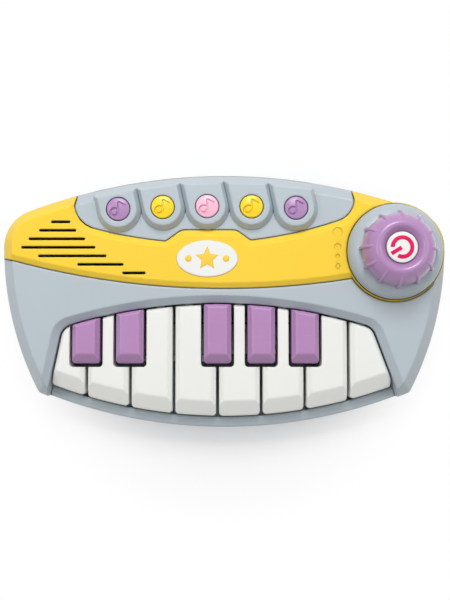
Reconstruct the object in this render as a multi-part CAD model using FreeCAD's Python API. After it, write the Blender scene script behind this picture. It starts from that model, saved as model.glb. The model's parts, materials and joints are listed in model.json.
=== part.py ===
import FreeCAD, Part
import math
import os

V = FreeCAD.Vector
os.makedirs("parts", exist_ok=True)

# A toy piano with 13 hinged keys, 5 push buttons and a turning knob, in millimetres.
# Origin: middle of the footprint, on the table. X to the right, Y to the back, Z up.
# Places in plan are shares of the casing's width and depth.

# Casing
body_width = 300.0
body_depth = 171.4
foot_height = 2.0
parting_height = 20.0
waist_height = 31.0
top_height = 44.0
top_chamfer = 8.5
base_draft = 4.0
wall = 2.4
back_radius = 375.0
side_radius = 215.0
side_center_y = 39.0
front_radius = 337.0
back_corner = 26.0
front_corner = 5.0
base_round = 2.5
least_corner = 2.0
edge_round = 1.6
seam_round = 0.5
weld = 0.5
rail_height = 22.0
rail_width = 7.0
rail_depth = 8.0

# Keyboard recess in the upper shell
keyboard_x = -0.015 * body_width
recess_rear_y = 0.0187 * body_depth
recess_rear_radius = 350.0
recess_left_x = -0.3853 * body_width
recess_right_x = 0.359 * body_width
recess_side_y = -0.146 * body_depth
recess_left_lean = 11.8
recess_right_lean = 20.3
recess_corner = 15.0
band_run = 4.8
band_drop = 5.0

# Keys
white_count = 8
white_pitch = 0.0977 * body_width
key_gap = 2.0
key_clear = 1.2
key_wall = 2.0
white_top = 38.0
white_bottom = 20.0
white_front_inset = 8.2
white_front_run = 10.5
white_front_drop = 6.5
white_side_run = 3.2
white_side_drop = 2.6
white_edge_round = 2.2
white_front_round = 3.0
key_rear_run = 1.8
key_rear_drop = 1.6
purple_top = 43.0
purple_bottom = 24.0
purple_width = 0.628 * white_pitch
purple_front_y = -0.2462 * body_depth
purple_front_run = 6.3
purple_front_drop = 6.5
purple_side_run = 3.0
purple_side_drop = 4.0
purple_edge_round = 1.8
purple_front_round = 2.6
purple_corner = 2.4
notch_side = 1.9
notch_front = 2.4
notch_corner = 2.5
key_corner = 2.6

# Key hinge and contacts
rod_radius = 1.5
rod_y = 0.09335 * body_depth
rod_z = 26.0
rod_fit = 0.05
barrel_radius = 4.0
tail_width = 5.0
tail_reach = 8.0
tail_web_y = -0.175 * body_depth
tail_clear = 3.0
end_tail_inset = 8.0
post_thickness = 3.0
post_length = 8.0
felt_thickness = 2.0
felt_width = 3.0
plunger_radius = 2.2
white_plunger_y = -0.181 * body_depth
purple_plunger_y = -0.1225 * body_depth
contact_board_z = 10.0
board_thickness = 1.6
dome_sheet = 1.0
key_dome_height = 6.4
key_dome_radius = 4.2
dome_tip_radius = 2.6
board_margin = 3.0
board_screw_strip = 7.0

# Yellow control panel
panel_raise = 2.5
panel_pocket = 1.2
panel_skirt = 1.6
panel_fit = 0.8
rail_gap = 0.35
panel_edge_y = 0.0461 * body_depth
panel_edge_radius = 541.0
panel_front_run = 3.6
panel_back_run = 4.0
slot_width = 1.8
slot_pitch = 0.0332 * body_depth
slot_first_y = 0.3025 * body_depth
slot_margin = 0.6
slot_spans = ((-0.3843, -0.3413), (-0.4107, -0.328), (-0.4337, -0.3083), (-0.4497, -0.2853),
              (-0.4123, -0.2607), (-0.3253, -0.2227), (-0.2257, -0.1737))
mark_x = 0.2513 * body_width
mark_spots = ((0.262, 3.3), (0.2048, 2.3), (0.1692, 1.4))
mark_depth = 0.5
label_x = -0.0377 * body_width
label_y = 0.1593 * body_depth
label_width = 40.7
label_height = 24.4
label_thickness = 0.8
label_round = 0.5

# Grey field round the buttons
field_left_x = -0.335 * body_width
field_right_x = 0.291 * body_width
field_radius = 280.0
field_x = -0.0467 * body_width
field_front_y = 0.2205 * body_depth
field_left_corner = 18.0
field_right_corner = 16.0
tab_top_y = 0.2713 * body_depth
tab_left_x = -0.095 * body_width
tab_right_x = 0.0267 * body_width
tab_slope = 36.0
tab_foot_round = 3.0
tab_head_round = 8.0

# Buttons and their raised collars
button_count = 5
button_x = -0.0377 * body_width
button_y = 0.3606 * body_depth
button_arc_x = -0.01 * body_width
button_arc_radius = 1210.0
button_radius = 7.6
button_round = 1.2
button_gap = 0.5
button_travel = 2.0
button_proud = 1.8
button_crown = 1.0
button_flange = 1.4
flange_height = 1.2
flange_gap = 0.3
collar_height = 6.0
collar_half = 14.9
collar_lap = 0.34
collar_draft = 3.0
collar_lean = 12.6
collar_round = 1.0
button_dome_height = 4.3
button_dome_radius = 4.0
button_board_front = 14.0
button_board_back = 9.5
button_board_end = 9.0
button_post_front = 11.0
button_post_back = 6.5

# Knob, bezel and switch
knob_x = 0.378 * body_width
knob_y = 0.1867 * body_depth
bezel_radius = 31.8
bezel_lap = 1.6
bezel_seat = 0.9
flange_rim = 1.1
flange_groove = 0.5
groove_depth = 1.8
bezel_rise = 10.0
bezel_inner_radius = 21.5
bezel_wall = 2.4
knob_radius = 23.8
knob_float = 0.6
knob_height = 16.4
knob_skirt = 2.4
crest_radius = 15.2
dish_radius = 10.3
dish_depth = 4.0
rib_count = 12
rib_tip_radius = 25.9
rib_inner_radius = 18.0
rib_width = 2.0
rib_turn = -2.0
rib_drop = 1.6
rib_swell = 0.75
rib_round = 0.9
knob_wall = 2.4
cap_gap = 0.4
cap_height = 2.2
cap_crown = 0.8
crest_round = 3.0
shaft_radius = 3.0
shaft_fit = 0.05
shaft_depth = 10.0
hub_radius = 6.0
bushing_radius = 4.5
bushing_gap = 0.3
switch_size = 24.0
switch_height = 10.0
switch_corner = 2.0
switch_floor = 2.0
pin_pitch = 5.0
pin_width = 1.6
pin_length = 4.0

# Speaker
speaker_x = -0.34 * body_width
speaker_y = 0.2217 * body_depth
speaker_radius = 20.0
speaker_flange = 1.4
speaker_opening = 17.5
basket_height = 11.0
magnet_radius = 10.0
magnet_height = 7.0
sheet_metal = 0.8
pole_radius = 2.8
pole_gap = 0.2
pole_height = 3.5
neck_radius = 4.5
dust_cap_radius = 5.0
dust_cap_rise = 1.6
surround_width = 1.6
surround_rise = 1.0
paper = 0.7

# Batteries
cell_count = 3
cell_radius = 7.25
cell_length = 50.5
cell_pitch = 15.6
cell_gap = 0.4
bay_center_y = 0.2976 * body_depth
bay_wall = 2.4
contact_room = 4.0
contact_thickness = 0.5
door_thickness = 2.2
door_fit = 0.3
door_ledge = 2.0
door_tab = 9.0
door_corner = 1.5
door_screw_reach = 9.0
grip_count = 5
grip_pitch = 3.2
grip_width = 1.6
grip_length = 24.0
grip_depth = 0.8
plate_half = 5.0
spring_radius = 3.5
spring_tip_radius = 2.0
nub_radius = 2.7
nub_length = 1.2

# Boards, screws and feet
main_board_gap = 8.35
main_board_y = 0.2334 * body_depth
main_board_length = 46.0
main_board_width = 28.0
main_board_z = 12.0
board_post_radius = 3.0
board_screw_inset = 4.0
blob_radius = 6.0
blob_height = 1.5
chip_length = 10.0
chip_width = 8.0
chip_height = 1.8
can_radius = 2.5
can_height = 7.0
screw_radius = 1.45
screw_fit = 0.05
screw_head_radius = 3.0
screw_head_height = 2.2
head_fit = 0.4
screw_bore = 1.7
screw_head_z = 12.0
screw_tip_z = 31.0
small_head_height = 1.2
small_head_radius = 2.4
small_screw_length = 5.0
column_radius = 5.0
boss_radius = 4.0
screw_shares = ((-0.4467, 0.0467), (0.4467, 0.0467), (-0.2867, 0.35), (0.2867, 0.35), (-0.416, -0.199),
                (0.416, -0.199))
foot_radius = 7.0
foot_seat = 0.8
foot_gap = 0.2
foot_shares = ((-0.36, 0.2567), (0.36, 0.2567), (-0.3467, -0.245), (0.3467, -0.245))

# Levels and places that follow from the sizes above
half_depth = body_depth / 2
floor_top = foot_height + wall
seat_height = top_height - panel_pocket
roof_under = seat_height - wall
panel_top = top_height + panel_raise
collar_top = top_height + collar_height
bezel_bottom = panel_top + bezel_seat
bezel_top = bezel_bottom + bezel_rise
knob_bottom = bezel_top + knob_float
knob_top = knob_bottom + knob_height
front_center = V(0, -half_depth + front_radius, 0)
chamfer_slope = top_chamfer / (top_height - waist_height)
above = knob_top + 10
key_line = -(band_run + key_clear)
dome_base = contact_board_z + board_thickness
key_dome_top = dome_base + dome_sheet + key_dome_height
felt_top = rod_z - barrel_radius
tail_rear_y = rod_y + tail_reach
bay_half = cell_length / 2 + contact_room
main_board_x = bay_half + door_tab + bay_wall + main_board_gap + main_board_length / 2
screw_spots = [(x * body_width, y * body_depth) for x, y in screw_shares]
foot_spots = [(x * body_width, y * body_depth) for x, y in foot_shares]
purple_gaps = [gap for gap in range(1, white_count) if gap % 7 not in (0, 3)]


def line(x, y, dx, dy):
    """A straight edge; the region lies on its left."""
    along = V(dx, dy, 0).normalize()
    return {"point": V(x, y, 0), "along": along, "inward": V(-along.y, along.x, 0)}


def circle(center, radius):
    """A round edge; the region lies inside it."""
    return {"center": V(center.x, center.y, 0), "radius": radius}


def depth_inside(edge, point):
    """Distance of a point inside an edge, and the direction in which it grows."""
    if "along" in edge:
        return (point - edge["point"]).dot(edge["inward"]), edge["inward"]
    arm = edge["center"] - point
    return edge["radius"] - arm.Length, V(arm).normalize()


def round_center(one, two, depth, hint):
    """The point that lies the given depth inside two edges, sought from a hint."""
    point = V(*hint, 0)
    for _ in range(40):
        first, normal = depth_inside(one, point)
        second, other = depth_inside(two, point)
        first = depth - first
        second = depth - second
        spread = normal.x * other.y - normal.y * other.x
        step_x = (first * other.y - second * normal.y) / spread
        step_y = (second * normal.x - first * other.x) / spread
        point = point + V(step_x, step_y, 0)
    return point


def foot_on(edge, point, offset):
    """The point of an edge, moved outwards by an offset, that is nearest to a point."""
    if "along" in edge:
        return point - edge["inward"] * ((point - edge["point"]).dot(edge["inward"]) + offset)
    return edge["center"] + (point - edge["center"]).normalize() * (edge["radius"] + offset)


def arc_through(center, start, end):
    """The shorter arc round a center."""
    middle = (start - center) + (end - center)
    middle = center + middle.normalize() * (start - center).Length
    return Part.Arc(start, middle, end).toShape()


def outline(edges, offset, z):
    """A closed wire of edges with rounded corners, moved outwards by an offset.

    Each entry is an edge, the radius of the corner after it (below zero where the
    region turns inwards) and a hint of where that corner's center lies."""
    corners = []
    for index, (edge, radius, hint) in enumerate(edges):
        following = edges[(index + 1) % len(edges)][0]
        sharp = 0 < radius < least_corner - offset
        center = round_center(edge, following, least_corner - offset if sharp else radius, hint)
        corners.append((center, foot_on(edge, center, offset), foot_on(following, center, offset)))
    parts = []
    for index, (edge, radius, hint) in enumerate(edges):
        center, arrive, leave = corners[index]
        start = corners[index - 1][2]
        if "along" in edge:
            parts.append(Part.LineSegment(start, arrive).toShape())
        else:
            parts.append(arc_through(edge["center"], start, arrive))
        parts.append(arc_through(center, arrive, leave))
    wire = Part.Wire(parts)
    wire.translate(V(0, 0, z))
    return wire


def prism(edges, offset, bottom, top):
    """An outline pulled straight up."""
    return Part.Face(outline(edges, offset, bottom)).extrude(V(0, 0, top - bottom))


def frustum(edges, low_offset, bottom, high_offset, top):
    """A solid between two offsets of one outline."""
    wires = [outline(edges, low_offset, bottom), outline(edges, high_offset, top)]
    return Part.makeLoft(wires, True, True)


def box(x0, y0, z0, x1, y1, z1):
    return Part.makeBox(x1 - x0, y1 - y0, z1 - z0, V(x0, y0, z0))


def post(x, y, z0, z1, radius):
    return Part.makeCylinder(radius, z1 - z0, V(x, y, z0))


def soft_wire(points, across):
    """A closed upright polygon; each point is a run, a height and the radius of its corner."""
    corners = []
    for index, (run, height, radius) in enumerate(points):
        here = across * run + V(0, 0, height)
        before = points[index - 1]
        after = points[(index + 1) % len(points)]
        arrive = (across * before[0] + V(0, 0, before[1]) - here).normalize()
        leave = (across * after[0] + V(0, 0, after[1]) - here).normalize()
        half = arrive.getAngle(leave) / 2
        inward = (arrive + leave).normalize()
        reach = radius / math.tan(half)
        crest = here + inward * (radius / math.sin(half) - radius)
        corners.append((here + arrive * reach, crest, here + leave * reach, radius))
    parts = []
    for index, (start, crest, end, radius) in enumerate(corners):
        parts.append(Part.LineSegment(corners[index - 1][2], start).toShape())
        if radius > 0:
            parts.append(Part.Arc(start, crest, end).toShape())
    return Part.Wire(parts)


def slab_xz(points, y0, y1):
    """A soft polygon in the XZ plane, pulled along Y."""
    wire = soft_wire(points, V(1, 0, 0))
    wire.translate(V(0, y0, 0))
    return Part.Face(wire).extrude(V(0, y1 - y0, 0))


def slab_yz(points, x0, x1):
    """A soft polygon in the YZ plane, pulled along X."""
    wire = soft_wire(points, V(0, 1, 0))
    wire.translate(V(x0, 0, 0))
    return Part.Face(wire).extrude(V(x1 - x0, 0, 0))


def turned(path, x, y):
    """A profile of radii and heights turned about a vertical axis.

    A step of the path is a point, or a pair of points that an arc runs through."""
    at = V(path[0][0], 0, path[0][1])
    start = at
    parts = []
    for step in path[1:]:
        if isinstance(step[0], tuple):
            middle, end = (V(r, 0, z) for r, z in step)
            parts.append(Part.Arc(at, middle, end).toShape())
        else:
            end = V(step[0], 0, step[1])
            parts.append(Part.LineSegment(at, end).toShape())
        at = end
    if (at - start).Length > 0.001:
        parts.append(Part.LineSegment(at, start).toShape())
    solid = Part.Face(Part.Wire(parts)).revolve(V(0, 0, 0), V(0, 0, 1), 360)
    solid.translate(V(x, y, 0))
    return solid


def crown(radius, base, rise):
    """A step of a profile: a shallow dome from a radius up to the axis."""
    sphere = (radius * radius + rise * rise) / (2 * rise)
    half_angle = math.asin(radius / sphere) / 2
    middle = (sphere * math.sin(half_angle), base + rise - sphere * (1 - math.cos(half_angle)))
    return middle, (0, base + rise)


def edges_at(shape, z):
    """Edges that lie at one height."""
    return [edge for edge in shape.Edges
            if abs(edge.BoundBox.ZMin - z) < 0.01 and abs(edge.BoundBox.ZMax - z) < 0.01]


def upright_edges(shape, y=None):
    """Upright edges of a block, all or those at one place along Y."""
    return [edge for edge in shape.Edges if edge.BoundBox.ZLength > edge.BoundBox.DiagonalLength - 0.01
            and (y is None or abs(edge.BoundBox.YMax - y) < 0.01)]


def join(shapes):
    """One solid from pieces that touch or overlap."""
    whole = shapes[0]
    for shape in shapes[1:]:
        whole = whole.fuse(shape)
    return whole.removeSplitter()


def take(shape, cutters):
    """A shape less all the cutters."""
    for cutter in cutters:
        shape = shape.cut(cutter)
    return shape


def save(name, shape):
    shape.exportStep("parts/" + name + ".step")
    print(name, len(shape.Solids), "solids", len(shape.Faces), "faces", round(shape.Volume))


side_center = body_width / 2 - side_radius
body_edges = [
    (circle(front_center, front_radius), front_corner, (0.38 * body_width, -0.3 * body_depth)),
    (circle(V(side_center, side_center_y), side_radius), back_corner, (0.42 * body_width, 0.2 * body_depth)),
    (circle(V(0, half_depth - back_radius), back_radius), back_corner, (-0.42 * body_width, 0.2 * body_depth)),
    (circle(V(-side_center, side_center_y), side_radius), front_corner, (-0.38 * body_width, -0.3 * body_depth)),
]

recess_mouth_y = -1.2 * half_depth
left_lean = math.radians(recess_left_lean)
right_lean = math.radians(recess_right_lean)
recess_left = line(recess_left_x, recess_side_y, -math.sin(left_lean), -math.cos(left_lean))
recess_right = line(recess_right_x, recess_side_y, -math.sin(right_lean), math.cos(right_lean))
recess_rear = circle(V(keyboard_x, recess_rear_y - recess_rear_radius), recess_rear_radius)
recess_edges = [
    (line(0, recess_mouth_y, 1, 0), least_corner, (recess_right_x, recess_mouth_y)),
    (recess_right, recess_corner, (recess_right_x - recess_corner, recess_side_y)),
    (recess_rear, recess_corner, (recess_left_x + recess_corner, recess_side_y)),
    (recess_left, least_corner, (recess_left_x, recess_mouth_y)),
]

slope_x = math.cos(math.radians(tab_slope))
slope_y = math.sin(math.radians(tab_slope))
field_circle = circle(V(field_x, field_front_y + field_radius), field_radius)
field_back_y = half_depth + 20
field_edges = [
    (line(field_left_x, 0, 0, -1), field_left_corner, (field_left_x + 20, tab_top_y + 15)),
    (field_circle, tab_foot_round, (tab_left_x - 12, field_front_y + 4)),
    (line(tab_left_x, tab_top_y, slope_x, slope_y), -tab_head_round, (tab_left_x + 3, tab_top_y - 9)),
    (line(0, tab_top_y, 1, 0), -tab_head_round, (tab_right_x - 3, tab_top_y - 9)),
    (line(tab_right_x, tab_top_y, slope_x, -slope_y), tab_foot_round, (tab_right_x + 12, field_front_y + 4)),
    (field_circle, field_right_corner, (field_right_x - 18, tab_top_y + 20)),
    (line(field_right_x, 0, 0, 1), 1.0, (field_right_x - 1, field_back_y - 1)),
    (line(0, field_back_y, -1, 0), 1.0, (field_left_x + 1, field_back_y - 1)),
]

collar_x = math.sin(math.radians(collar_lean))
collar_y = math.cos(math.radians(collar_lean))
button_pitch = 2 * collar_half - collar_lap
button_xs = [button_x + button_pitch * (index - (button_count - 1) / 2) for index in range(button_count)]
button_spots = [(x, button_y - (x - button_arc_x) ** 2 / (2 * button_arc_radius)) for x in button_xs]
gap_xs = [keyboard_x + white_pitch * (index - white_count / 2) for index in range(white_count + 1)]


def collar_wire(x, y, half, z):
    """A leaning U round a button, open end to the back."""
    back = V(-collar_x, collar_y, 0)
    side = V(collar_y, collar_x, 0)
    center = V(x, y, z)
    left = center - side * half
    right = center + side * half
    reach = back * half_depth
    parts = [
        Part.Arc(left, center - back * half, right).toShape(),
        Part.LineSegment(right, right + reach).toShape(),
        Part.LineSegment(right + reach, left + reach).toShape(),
        Part.LineSegment(left + reach, left).toShape(),
    ]
    return Part.Wire(parts)


def collar(x, y):
    low = collar_wire(x, y, collar_half, top_height)
    high = collar_wire(x, y, collar_half - collar_draft, collar_top)
    raised = Part.makeLoft([low, high], True, True)
    raised = raised.makeFillet(collar_round, edges_at(raised, collar_top))
    base = Part.Face(collar_wire(x, y, collar_half, waist_height)).extrude(V(0, 0, top_height - waist_height))
    return raised.fuse(base)


def oval(x, y, z, length, width, height):
    wire = Part.Wire(Part.Ellipse(V(x, y, z), length / 2, width / 2).toShape())
    return Part.Face(wire).extrude(V(0, 0, height))


def slots(grow, z0, z1):
    """The round-ended speaker slots, each grown by a margin."""
    made = []
    radius = slot_width / 2 + grow
    for row, (start, end) in enumerate(slot_spans):
        x0 = start * body_width + slot_width / 2
        x1 = end * body_width - slot_width / 2
        y = slot_first_y - slot_pitch * row
        middle = box(x0, y - radius, z0, x1, y + radius, z1)
        made.append(join([middle, post(x0, y, z0, z1, radius), post(x1, y, z0, z1, radius)]))
    return made


def outer_body():
    """The upper casing as a full block with soft edges."""
    sides = prism(body_edges, 0, parting_height, waist_height)
    roof = frustum(body_edges, 0, waist_height, -top_chamfer, top_height)
    block = join([sides, roof])
    block = block.makeFillet(edge_round, edges_at(block, top_height))
    return block.makeFillet(seam_round, edges_at(block, parting_height))


def panel_region(grow):
    """Plan of the yellow panel, as a tall block with its bevelled edges."""
    center = V(0, panel_edge_y + panel_edge_radius, 0)
    radius = panel_edge_radius + grow
    low = Part.makeCylinder(radius, top_height - waist_height, center + V(0, 0, waist_height))
    high = Part.makeCone(radius, radius - panel_front_run, panel_raise, center + V(0, 0, top_height))
    disc = low.fuse(high)
    field = prism(field_edges, -grow, waist_height - 1, top_height)
    bevel = frustum(field_edges, -grow, top_height, panel_back_run - grow, panel_top)
    return take(disc, [field, bevel])


def seat_body(block):
    """The upper casing's outside with the pocket for the yellow panel."""
    core = frustum(body_edges, -panel_skirt, waist_height, -(top_chamfer + panel_pocket), seat_height)
    rim = post(knob_x, knob_y, seat_height, above, bezel_radius + flange_rim + panel_fit)
    return block.cut(panel_region(panel_fit).cut(core)).cut(rim)


def make_control_panel(seat):
    raw = frustum(body_edges, 0, waist_height, -top_chamfer, panel_top)
    raw = raw.makeFillet(edge_round, edges_at(raw, panel_top))
    panel = raw.common(panel_region(0))
    flange = post(knob_x, knob_y, waist_height, panel_top, bezel_radius + flange_rim)
    neck = post(knob_x, knob_y, waist_height, bezel_bottom, bezel_radius - bezel_lap)
    groove = post(knob_x, knob_y, panel_top - groove_depth, above, bezel_radius + flange_groove)
    panel = panel.fuse(flange).cut(groove).fuse(neck).cut(seat)
    panel = panel.removeSplitter()
    cutters = [post(knob_x, knob_y, 0, above, bushing_radius + bushing_gap)] + slots(0, waist_height, above)
    for share, radius in mark_spots:
        cutters.append(post(mark_x, share * body_depth, panel_top - mark_depth, above, radius))
    return take(panel, cutters)


def make_upper_shell(seat):
    recess = prism(recess_edges, -band_run, parting_height - 1, top_height - band_drop)
    band = frustum(recess_edges, -band_run, top_height - band_drop, 0, top_height)
    slope_inset = wall * math.hypot(1, chamfer_slope) + chamfer_slope * (roof_under - waist_height)
    hollow = prism(body_edges, -wall, parting_height - 1, waist_height)
    hollow = hollow.fuse(frustum(body_edges, -wall, waist_height, -slope_inset, roof_under))
    recess_wall = prism(recess_edges, wall - band_run + edge_round, 0, above)
    hollow = hollow.cut(recess_wall)
    tails = prism(recess_edges, wall - band_run + 2 * edge_round, 0, rod_z + barrel_radius + tail_clear)
    tails = tails.common(box(-body_width, recess_side_y, 0, body_width, half_depth, above))
    shell = take(seat, [recess, band, hollow, tails])
    bosses = [post(x, y, parting_height, roof_under + weld, boss_radius) for x, y in screw_spots]
    for x, y in button_posts():
        bosses.append(post(x, y, button_board_top, roof_under + weld, board_post_radius))
    shell = join([shell] + bosses)
    cutters = [post(x, y, 0, screw_tip_z + weld, screw_radius + screw_fit) for x, y in screw_spots]
    for x, y in button_posts():
        cutters.append(post(x, y, 0, button_board_z + small_screw_length, screw_radius + screw_fit))
    for x, y in button_spots:
        cutters.append(post(x, y, button_low, above, button_radius + button_gap))
        cutters.append(post(x, y, button_low - button_travel - flange_gap, roof_under,
                            button_radius + button_flange + button_gap))
    cutters.append(post(knob_x, knob_y, 0, above, bushing_radius + bushing_gap))
    cutters.append(post(speaker_x, speaker_y, roof_under - weld, seat_height + weld, speaker_opening))
    return take(shell, cutters + slots(slot_margin, roof_under - weld, above))


def button_posts():
    """Screw posts of the button board, between the outer buttons."""
    places = ((button_xs[0] + button_xs[1]) / 2, (button_xs[-2] + button_xs[-1]) / 2)
    return [(x, y) for x in places for y in (button_y - button_post_front, button_y + button_post_back)]


def make_button_fascia(seat):
    block = join([collar(x, y) for x, y in button_spots])
    limit = frustum(body_edges, 0, waist_height, -top_chamfer, collar_top)
    block = block.common(limit).cut(seat)
    return take(block, [post(x, y, 0, above, button_radius + button_gap) for x, y in button_spots])


def make_button(x, y):
    flange_top = roof_under - flange_gap
    low = flange_top - flange_height
    rim = collar_top + button_proud - button_crown
    profile = [
        (0, low),
        (button_radius + button_flange, low),
        (button_radius + button_flange, flange_top),
        (button_radius, flange_top),
        (button_radius, rim - button_round),
        ((button_radius - 0.29 * button_round, rim - 0.29 * button_round), (button_radius - button_round, rim)),
        crown(button_radius - button_round, rim, button_crown),
    ]
    return turned(profile, x, y)


def front_round(radius, bottom, top):
    """Inside of the white keys' front curve, which slopes back near the top."""
    wire = soft_wire([(0, bottom, 0), (radius, bottom, 0), (radius, top - white_front_drop, white_edge_round),
                      (radius - white_front_run, top, white_front_round), (0, top, 0)], V(1, 0, 0))
    solid = Part.Face(wire).revolve(V(0, 0, 0), V(0, 0, 1), 360)
    solid.translate(front_center)
    return solid


def moved(edge, inset):
    """A straight edge moved inwards."""
    return {**edge, "point": edge["point"] + edge["inward"] * inset}


def side_at(edge, y):
    """Where a straight side edge is at one place along Y."""
    return edge["point"].x + (y - edge["point"].y) * edge["along"].x / edge["along"].y


def white_plan(left, right, radius, bottom, top):
    """Plan of a white key between two side edges, with round front corners, pulled up."""
    rear = recess_rear_y + 2 * key_corner
    hints = []
    for edge, way in ((left, 1), (right, -1)):
        x = side_at(edge, -half_depth)
        y = front_center.y - math.sqrt(radius * radius - x * x) + key_corner
        hints.append((side_at(edge, y) + way * key_corner, y))
    edges = [
        (left, key_corner, hints[0]),
        (circle(front_center, radius), key_corner, hints[1]),
        (right, least_corner, (side_at(right, rear) - least_corner, rear - least_corner)),
        (line(0, rear, -1, 0), least_corner, (side_at(left, rear) + least_corner, rear - least_corner)),
    ]
    return prism(edges, 0, bottom, top)


def key_bed(shrink, bottom, top):
    """Inside of the recess, with a small bevel at the top."""
    low = prism(recess_edges, key_line - shrink, bottom, top - key_rear_drop)
    high = frustum(recess_edges, key_line - shrink, top - key_rear_drop,
                   key_line - shrink - key_rear_run, top)
    return low.fuse(high)


def white_block(index, shrink, bottom):
    top = white_top - shrink
    x0 = gap_xs[index] + key_gap / 2 + shrink
    x1 = gap_xs[index + 1] - key_gap / 2 - shrink
    ledge = top - white_side_drop
    soft = white_edge_round
    profile = [(x0, bottom, 0), (x1, bottom, 0), (x1, ledge, soft), (x1 - white_side_run, top, soft),
               (x0 + white_side_run, top, soft), (x0, ledge, soft)]
    strip = slab_xz(profile, -half_depth, half_depth)
    left = line(x0, 0, 0, -1)
    right = line(x1, 0, 0, 1)
    if index == 0:
        left = moved(recess_left, shrink - key_line)
    if index == white_count - 1:
        right = moved(recess_right, shrink - key_line)
    radius = front_radius - white_front_inset - shrink
    plan = white_plan(left, right, radius, bottom, top)
    bed = key_bed(shrink, bottom, top)
    return bed.common(front_round(radius, bottom, top)).common(plan).common(strip)


def purple_block(x, shrink, bottom):
    top = purple_top - shrink
    half = purple_width / 2 - shrink
    ledge = top - purple_side_drop
    soft = purple_edge_round
    profile = [(x - half, bottom, 0), (x + half, bottom, 0), (x + half, ledge, soft),
               (x + half - purple_side_run, top, soft), (x - half + purple_side_run, top, soft),
               (x - half, ledge, soft)]
    front = purple_front_y + shrink
    side = [(front, bottom, 0), (rod_y, bottom, 0), (rod_y, top, 0),
            (front + purple_front_run, top, purple_front_round),
            (front, top - purple_front_drop, purple_front_round)]
    plan = box(x - half, front, bottom, x + half, rod_y, top)
    plan = plan.makeFillet(purple_corner, upright_edges(plan, front))
    strip = slab_xz(profile, front, rod_y).common(slab_yz(side, x - half, x + half))
    return strip.common(plan).common(key_bed(shrink, bottom, top))


def notch(x, grow):
    """Room for a purple key between two white ones."""
    half = purple_width / 2 + notch_side + grow
    front = purple_front_y - notch_front - grow
    room = box(x - half, front, 0, x + half, rod_y, above)
    return room.makeFillet(notch_corner, upright_edges(room, front))


def tail(x, web_block, arm_front, plunger_y, top):
    """Hinge arm with its barrel, the web inside the key and the plunger."""
    half = tail_width / 2
    low = rod_z - barrel_radius
    high = rod_z + barrel_radius
    arm = box(x - half, arm_front, low, x + half, tail_rear_y, high)
    web = box(x - half, tail_web_y, low, x + half, recess_rear_y, above).common(web_block)
    rod_axis = V(1, 0, 0)
    barrel = Part.makeCylinder(barrel_radius, tail_width, V(x - half, rod_y, rod_z), rod_axis)
    plunger = post(x, plunger_y, key_dome_top, top - key_wall / 2, plunger_radius)
    bore = Part.makeCylinder(rod_radius + rod_fit, tail_width + 2, V(x - half - 1, rod_y, rod_z), rod_axis)
    return [arm, web, barrel, plunger], bore


def white_tail_x(index):
    """Middle of a white key's part between the purple ones, where its tail is."""
    reach = purple_width / 2 + notch_side
    left = gap_xs[index] + (reach if index in purple_gaps else key_gap / 2)
    right = gap_xs[index + 1] - (reach if index + 1 in purple_gaps else key_gap / 2)
    if index == 0:
        left = right - tail_width
    if index == white_count - 1:
        right = left + 2 * end_tail_inset
    return (left + right) / 2


def make_white_key(index):
    notches = [gap_xs[gap] for gap in (index, index + 1) if gap in purple_gaps]
    block = take(white_block(index, 0, white_bottom), [notch(x, 0) for x in notches])
    hollow = take(white_block(index, key_wall, white_bottom - weld), [notch(x, key_wall) for x in notches])
    pieces, bore = tail(white_tail_x(index), block, tail_web_y, white_plunger_y, white_top)
    return join([block.cut(hollow)] + pieces).cut(bore)


def make_purple_key(x):
    block = purple_block(x, 0, purple_bottom)
    hollow = purple_block(x, key_wall, purple_bottom - weld)
    arm_front = recess_side_y + tail_clear
    pieces, bore = tail(x, block, arm_front, purple_plunger_y, purple_top)
    return join([block.cut(hollow)] + pieces).cut(bore)


def bay_size():
    """Inside of the battery bay: half length, front, back and roof."""
    reach = cell_pitch * (cell_count - 1) / 2 + cell_radius + cell_gap
    roof = foot_height + door_thickness + 2 * cell_gap + 2 * cell_radius
    return bay_half, bay_center_y - reach, bay_center_y + reach, roof


def cell_places():
    middle = (cell_count - 1) / 2
    z = foot_height + door_thickness + cell_gap + cell_radius
    return [(bay_center_y + cell_pitch * (index - middle), z) for index in range(cell_count)]


def post_places(tails):
    """Places of the rod's posts: both ends, and the widest gaps between tails."""
    tails = sorted(tails)
    gaps = [(right - left, (left + right) / 2) for left, right in zip(tails, tails[1:])]
    inner = sorted(place for width, place in sorted(gaps)[-4:])
    margin = tail_width / 2 + post_thickness
    return [tails[0] - margin] + inner + [tails[-1] + margin]


def rail_profile():
    """Section of the front rail, with a round top above the parting line."""
    soft = rail_height - parting_height
    inner = front_radius - rail_width
    low = rail_height - rail_depth
    drawn_in = base_draft * (parting_height - low) / (parting_height - foot_height)
    near = soft * (1 - math.sqrt(0.5))
    return [
        (inner, low),
        (front_radius - drawn_in - weld, low),
        (front_radius - weld, parting_height),
        (front_radius, parting_height),
        ((front_radius - near, rail_height - near), (front_radius - soft, rail_height)),
        (inner + soft, rail_height),
        ((inner + near, rail_height - near), (inner, parting_height)),
    ]


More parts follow.
